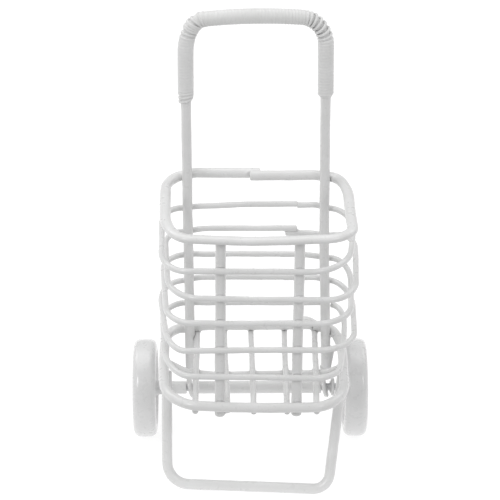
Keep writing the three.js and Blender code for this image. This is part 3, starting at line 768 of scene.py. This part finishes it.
for name in (
    "axle_sleeve_centre", "axle_sleeve_left", "axle_sleeve_right", "washer_left", "washer_right",
):
    ring_piece(name)

wheel_low, wheel_high = corners_of("wheel_right")
WHEEL_R = (wheel_high[2] - wheel_low[2]) / 2
WHEEL_HALF = 2.75  # half of the tread's width
WHEEL_X = wheel_high[0] - WHEEL_HALF
WHEEL_BORE = 0.97
HUB_IN, HUB_R = wheel_low[0] - WHEEL_X, 1.55  # the inner hub's end and its radius there
TREAD_ROUND = 1.55
CROWN = 0.06  # the middle of the tread stands this far above its edges
LIP_R, DISC_R = 9.25, 8.85  # the dished faces start at LIP_R and are flat inside DISC_R
DISH, HUB_STEP = 0.75, 1.2  # depths of the dished faces and of the outer one's middle
FACE_ROUND = 0.28


def tread_corner(side):
    """The soft edge between the tread and a face, with the tread itself slightly crowned."""
    places = []
    for angle in np.radians(np.arange(0, 91, 9)):
        along = WHEEL_HALF - TREAD_ROUND + TREAD_ROUND * math.cos(angle)
        places.append((side * along, WHEEL_R - CROWN - TREAD_ROUND + TREAD_ROUND * math.sin(angle)))
    return places if side < 0 else places[::-1]


def wheel_profile():
    """A wheel's section from its bore's inner end, over the tread, to its bore's outer end."""
    half = WHEEL_HALF
    inner = [
        (HUB_IN, WHEEL_BORE), (HUB_IN, HUB_R), (-half + 0.95, 2.0), (-half + DISH, 2.6),
        (-half + DISH, DISC_R), (-half, LIP_R),
    ]
    outer = [
        (half, LIP_R), (half - DISH, DISC_R), (half - DISH, 3.6), (half - HUB_STEP, 3.2),
        (half - HUB_STEP, WHEEL_BORE),
    ]
    tread = tread_corner(-1) + [(0, WHEEL_R)] + tread_corner(1)
    inside, outside = (rounded(face, FACE_ROUND, 4, closed=False) for face in (inner, outer))
    return inside + tread + outside


def make_wheel(side, sign):
    profile = wheel_profile()
    piece = turned(f"wheel_{side}_moulded", profile + profile[:1], 96, sign * WHEEL_X, sign)
    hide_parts(f"wheel_{side}")
    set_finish(piece, "wheel_plastic")
    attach(piece, f"wheel_{side}")
    made[f"wheel_{side}"] = piece


make_wheel("left", -1)
make_wheel("right", 1)

# ---- Finishes ----
def material(name):
    """A new material, its node tree and its main shader."""
    made_material = bpy.data.materials.new(name)
    made_material.use_nodes = True
    tree = made_material.node_tree
    return made_material, tree, tree.nodes["Principled BSDF"]


def noise(tree, scale, detail):
    """Noise fixed to the piece, with scale features in a metre."""
    where = tree.nodes.new("ShaderNodeTexCoord")
    node = tree.nodes.new("ShaderNodeTexNoise")
    node.inputs["Scale"].default_value = scale
    node.inputs["Detail"].default_value = detail
    tree.links.new(where.outputs["Object"], node.inputs["Vector"])
    return node


def ramp(tree, source, low, high):
    """A noise's middle range spread from low to high."""
    node = tree.nodes.new("ShaderNodeMapRange")
    node.inputs["From Min"].default_value = 0.35
    node.inputs["From Max"].default_value = 0.65
    node.inputs["To Min"].default_value = low
    node.inputs["To Max"].default_value = high
    tree.links.new(source.outputs["Fac"], node.inputs["Value"])
    return node


def tint(tree, source, dark, light):
    """A colour between dark and light that follows a noise."""
    node = tree.nodes.new("ShaderNodeValToRGB")
    node.color_ramp.elements[0].position = 0.3
    node.color_ramp.elements[0].color = (*dark, 1)
    node.color_ramp.elements[1].position = 0.7
    node.color_ramp.elements[1].color = (*light, 1)
    tree.links.new(source.outputs["Fac"], node.inputs["Fac"])
    return node


def bump(tree, layers, shader):
    """layers: (height source, strength, distance in metres), from coarse to fine."""
    last = None
    for source, strength, distance in layers:
        node = tree.nodes.new("ShaderNodeBump")
        node.inputs["Strength"].default_value = strength
        node.inputs["Distance"].default_value = distance
        tree.links.new(source.outputs["Fac"], node.inputs["Height"])
        if last is not None:
            tree.links.new(last.outputs["Normal"], node.inputs["Normal"])
        last = node
    tree.links.new(last.outputs["Normal"], shader.inputs["Normal"])


def white_coat(name, light, dark, rough, gloss):
    """Satin powder coating: slow patches in tone, uneven gloss and a fine orange peel."""
    made_material, tree, shader = material(name)
    patches, gloss_patches = noise(tree, 180, 3), noise(tree, 700, 2)
    tone = tint(tree, patches, dark, light)
    tree.links.new(tone.outputs["Color"], shader.inputs["Base Color"])
    uneven = ramp(tree, gloss_patches, rough - 0.05, rough + 0.07)
    tree.links.new(uneven.outputs["Result"], shader.inputs["Roughness"])
    shader.inputs["Coat Weight"].default_value = gloss
    shader.inputs["Coat Roughness"].default_value = 0.14
    sags, orange_peel = noise(tree, 420, 1), noise(tree, 2300, 2)
    bump(tree, [(sags, 0.35, 6e-5), (orange_peel, 0.25, 1.2e-5)], shader)
    return made_material


def bare_steel(name):
    made_material, tree, shader = material(name)
    tone = tint(tree, noise(tree, 900, 4), (0.42, 0.42, 0.43), (0.62, 0.63, 0.64))
    tree.links.new(tone.outputs["Color"], shader.inputs["Base Color"])
    uneven = ramp(tree, noise(tree, 1800, 3), 0.24, 0.42)
    tree.links.new(uneven.outputs["Result"], shader.inputs["Roughness"])
    shader.inputs["Metallic"].default_value = 1.0
    bump(tree, [(noise(tree, 3000, 3), 0.2, 1e-5)], shader)
    return made_material


COAT_WHITE, COAT_SHADE = (0.70, 0.70, 0.70), (0.66, 0.66, 0.655)
PLASTIC_WHITE, PLASTIC_SHADE = (0.69, 0.69, 0.692), (0.65, 0.65, 0.65)
FINISH = {
    "coated_wire": white_coat("coated_wire", COAT_WHITE, COAT_SHADE, rough=0.32, gloss=0.5),
    "handle_cord": white_coat("handle_cord", COAT_WHITE, COAT_SHADE, rough=0.46, gloss=0.15),
    "wheel_plastic": white_coat("wheel_plastic", PLASTIC_WHITE, PLASTIC_SHADE, rough=0.3, gloss=0.6),
    "bare_steel": bare_steel("bare_steel"),
}
for piece in made.values():
    piece.data.materials.clear()
    piece.data.materials.append(FINISH[piece["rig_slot"]])
for name in ("axle_rod", "axle_cap_left", "axle_cap_right"):
    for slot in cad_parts[name].material_slots:
        slot.material = FINISH["bare_steel"]

# ---- Floor, light and camera ----
DIM_Y, BRIGHT_Y = -60, -18  # the floor glows less in front of the trolley, to shade the wires below
DIM, BRIGHT = 0.16, 0.74
FLOOR_REACH = 6000


def stage_floor():
    """A pale floor that glows enough to print as white behind and under the trolley."""
    made_material, tree, shader = material("glowing_floor")
    tone = tint(tree, noise(tree, 3, 2), (0.32, 0.32, 0.32), (0.34, 0.34, 0.34))
    tree.links.new(tone.outputs["Color"], shader.inputs["Base Color"])
    shader.inputs["Roughness"].default_value = 0.9
    # painted glow: the floor's own colour is a mid grey, and it prints white only by glowing, dimmer in
    # front so the wires' undersides stay shaded
    shader.inputs["Emission Color"].default_value = (1, 1, 1, 1)
    where = tree.nodes.new("ShaderNodeTexCoord")
    split = tree.nodes.new("ShaderNodeSeparateXYZ")
    glow = tree.nodes.new("ShaderNodeMapRange")
    glow.interpolation_type = "SMOOTHSTEP"
    glow.inputs["From Min"].default_value = DIM_Y * MM
    glow.inputs["From Max"].default_value = BRIGHT_Y * MM
    glow.inputs["To Min"].default_value = DIM
    glow.inputs["To Max"].default_value = BRIGHT
    tree.links.new(where.outputs["Object"], split.inputs["Vector"])
    tree.links.new(split.outputs["Y"], glow.inputs["Value"])
    tree.links.new(glow.outputs["Result"], shader.inputs["Emission Strength"])
    size = FLOOR_REACH
    corners = [(-size, -size, 0), (size, -size, 0), (size, size, 0), (-size, size, 0)]
    floor = mesh_object("floor", corners, [[0, 1, 2, 3]])
    floor.location.z = -0.02 * MM  # just under the wheels and the stand
    floor.data.materials.append(made_material)


def softbox(name, place, aim, size, power):
    """A soft rectangular light at place, turned towards aim."""
    light = bpy.data.lights.new(name, "AREA")
    light.shape = "RECTANGLE"
    light.size, light.size_y = size[0] * MM, size[1] * MM
    light.energy = power
    made_light = bpy.data.objects.new(name, light)
    made_light.location = np.array(place) * MM
    direction = np.array(aim, float) - np.array(place, float)
    made_light.rotation_euler = Vector(direction).to_track_quat("-Z", "Y").to_euler()
    bpy.context.scene.collection.objects.link(made_light)


stage_floor()
softbox("overhead", (-120, 160, 700), (0, 0, 40), (600, 600), 1.3)
softbox("front_left", (-300, -430, 470), (0, 0, 40), (150, 240), 0.95)
softbox("front_right", (300, -420, 450), (0, 0, 40), (120, 200), 0.42)
softbox("back_left", (-430, 330, 480), (0, 0, 50), (260, 300), 0.5)
softbox("back_right", (430, 330, 480), (0, 0, 50), (260, 300), 0.4)

world = bpy.data.worlds.new("studio")
world.use_nodes = True
world.node_tree.nodes["Background"].inputs["Color"].default_value = (1, 1, 1, 1)
world.node_tree.nodes["Background"].inputs["Strength"].default_value = 0.66
bpy.context.scene.world = world
bpy.context.scene.view_settings.view_transform = "Standard"


def photo_camera():
    """A long lens in front of the trolley, 28 degrees up and very slightly to the left."""
    camera = bpy.data.objects.new("camera", bpy.data.cameras.new("camera"))
    camera.data.lens = 144
    camera.data.sensor_width = 36
    camera.data.clip_start, camera.data.clip_end = 0.01, 20
    aim_height, distance = 49.57, 468
    azimuth, elevation = math.radians(-0.513), math.radians(28)
    aim = np.array([0, LEG_Y, aim_height])
    level = math.cos(elevation)
    away = np.array([math.sin(azimuth) * level, -math.cos(azimuth) * level, math.sin(elevation)])
    camera.location = (aim + away * distance) * MM
    camera.rotation_euler = Vector(-away).to_track_quat("-Z", "Y").to_euler()
    bpy.context.scene.collection.objects.link(camera)
    bpy.context.scene.camera = camera


photo_camera()
